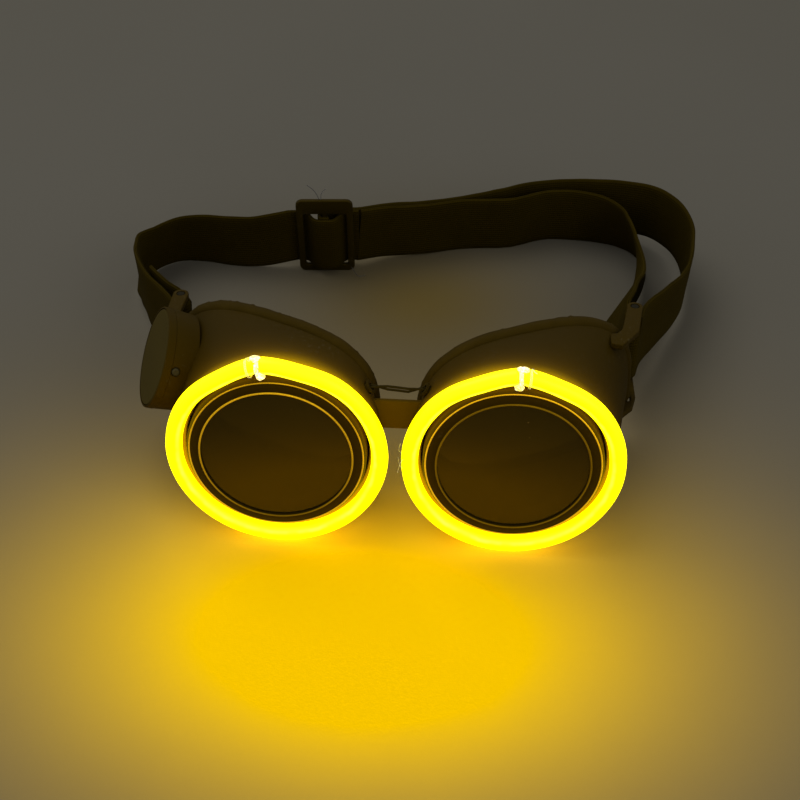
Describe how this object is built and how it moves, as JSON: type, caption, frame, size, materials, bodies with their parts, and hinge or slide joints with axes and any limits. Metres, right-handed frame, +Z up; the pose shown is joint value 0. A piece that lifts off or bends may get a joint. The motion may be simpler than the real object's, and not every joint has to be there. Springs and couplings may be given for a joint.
{
  "type": "lighted cup goggles",
  "caption": "Cup goggles with dark round lenses, a glowing light tube round each lens, a battery port on one cup and an elastic strap with a slider.",
  "frame": {"origin": "centre of the bounding box on the floor that the goggles lie on", "axes": "+X to the right as seen from in front, +Y from the lenses back towards the strap, +Z up"},
  "size_m": [0.2064, 0.1539, 0.0679],
  "materials": {
    "cup_plastic": "fine matt moulded black",
    "bezel_plastic": "satin black",
    "soft_rubber": "dull soft black",
    "dark_glass": "dark tinted, smooth",
    "glowing_silicone": "glowing yellow silicone tube",
    "led_filament": "glowing coated filament",
    "clear_tie": "clear plastic wire",
    "steel": "bright plain steel",
    "cover_plastic": "matt dark grey",
    "contact_brass": "bare spring brass",
    "tray_plastic": "matt black",
    "board": "green coated board",
    "lead_insulation": "thin black insulation",
    "webbing": "woven black elastic",
    "slider_plastic": "satin black"
  },
  "bodies": {
    "left_cup": {"left_eye_cup": "cup_plastic", "left_face_edging": "soft_rubber", "left_lens": "dark_glass", "left_lens_gasket": "soft_rubber", "left_light_tube": "glowing_silicone", "left_led_filament": "led_filament", "left_tube_tie": "clear_tie", "left_strap_bar": "steel", "left_lead_grommet": "soft_rubber", "coin_cell_1": "steel", "coin_cell_2": "steel", "battery_tray": "tray_plastic", "circuit_board": "board", "button_switch": "tray_plastic", "left_light_lead": "lead_insulation", "nose_bridge": "soft_rubber", "right_light_lead_a": "lead_insulation", "right_light_lead_b": "lead_insulation", "elastic_strap": "webbing"},
    "right_cup": {"right_eye_cup": "cup_plastic", "right_face_edging": "soft_rubber", "right_lens": "dark_glass", "right_lens_gasket": "soft_rubber", "right_light_tube": "glowing_silicone", "right_led_filament": "led_filament", "right_tube_tie": "clear_tie", "right_strap_bar": "steel", "right_lead_grommet": "soft_rubber"},
    "left_ring": {"left_lens_bezel": "bezel_plastic"},
    "right_ring": {"right_lens_bezel": "bezel_plastic"},
    "cover": {"battery_cover": "cover_plastic", "cover_contact": "contact_brass"},
    "button": {"power_button": "soft_rubber"},
    "slider": {"strap_slider": "slider_plastic"}
  },
  "joints": [
    {"name": "bridge_bend", "type": "hinge", "parent": "left_cup", "child": "right_cup", "pos_m": [0.0008, -0.05207, 0.03808], "axis": [0, 0.2554, 0.9668], "range_deg": [-12, 20], "stiffness_Nm_per_rad": 0.05, "deforming": ["nose_bridge", "right_light_lead_a", "right_light_lead_b", "elastic_strap"]},
    {"name": "left_ring_turn", "type": "hinge", "parent": "left_cup", "child": "left_ring", "pos_m": [-0.0358, -0.0662, 0.03354], "axis": [0, -0.9668, 0.2554], "continuous": true},
    {"name": "right_ring_turn", "type": "hinge", "parent": "right_cup", "child": "right_ring", "pos_m": [0.0374, -0.0662, 0.03354], "axis": [0, -0.9668, 0.2554], "continuous": true},
    {"name": "battery_cover_pull", "type": "slide", "parent": "left_cup", "child": "cover", "axis": [-0.8908, -0.1746, 0.4194], "range_m": [0, 0.012]},
    {"name": "power_button_press", "type": "slide", "parent": "left_cup", "child": "button", "axis": [-0.3905, 0.7662, -0.5104], "range_m": [0, 0.0005], "stiffness_N_per_m": 600, "springref_m": -0.0002},
    {"name": "slider_slide", "type": "slide", "parent": "left_cup", "child": "slider", "axis": [0.9981, 0.061, 0], "range_m": [-0.008, 0.008], "deforming": ["elastic_strap"]}
  ]
}
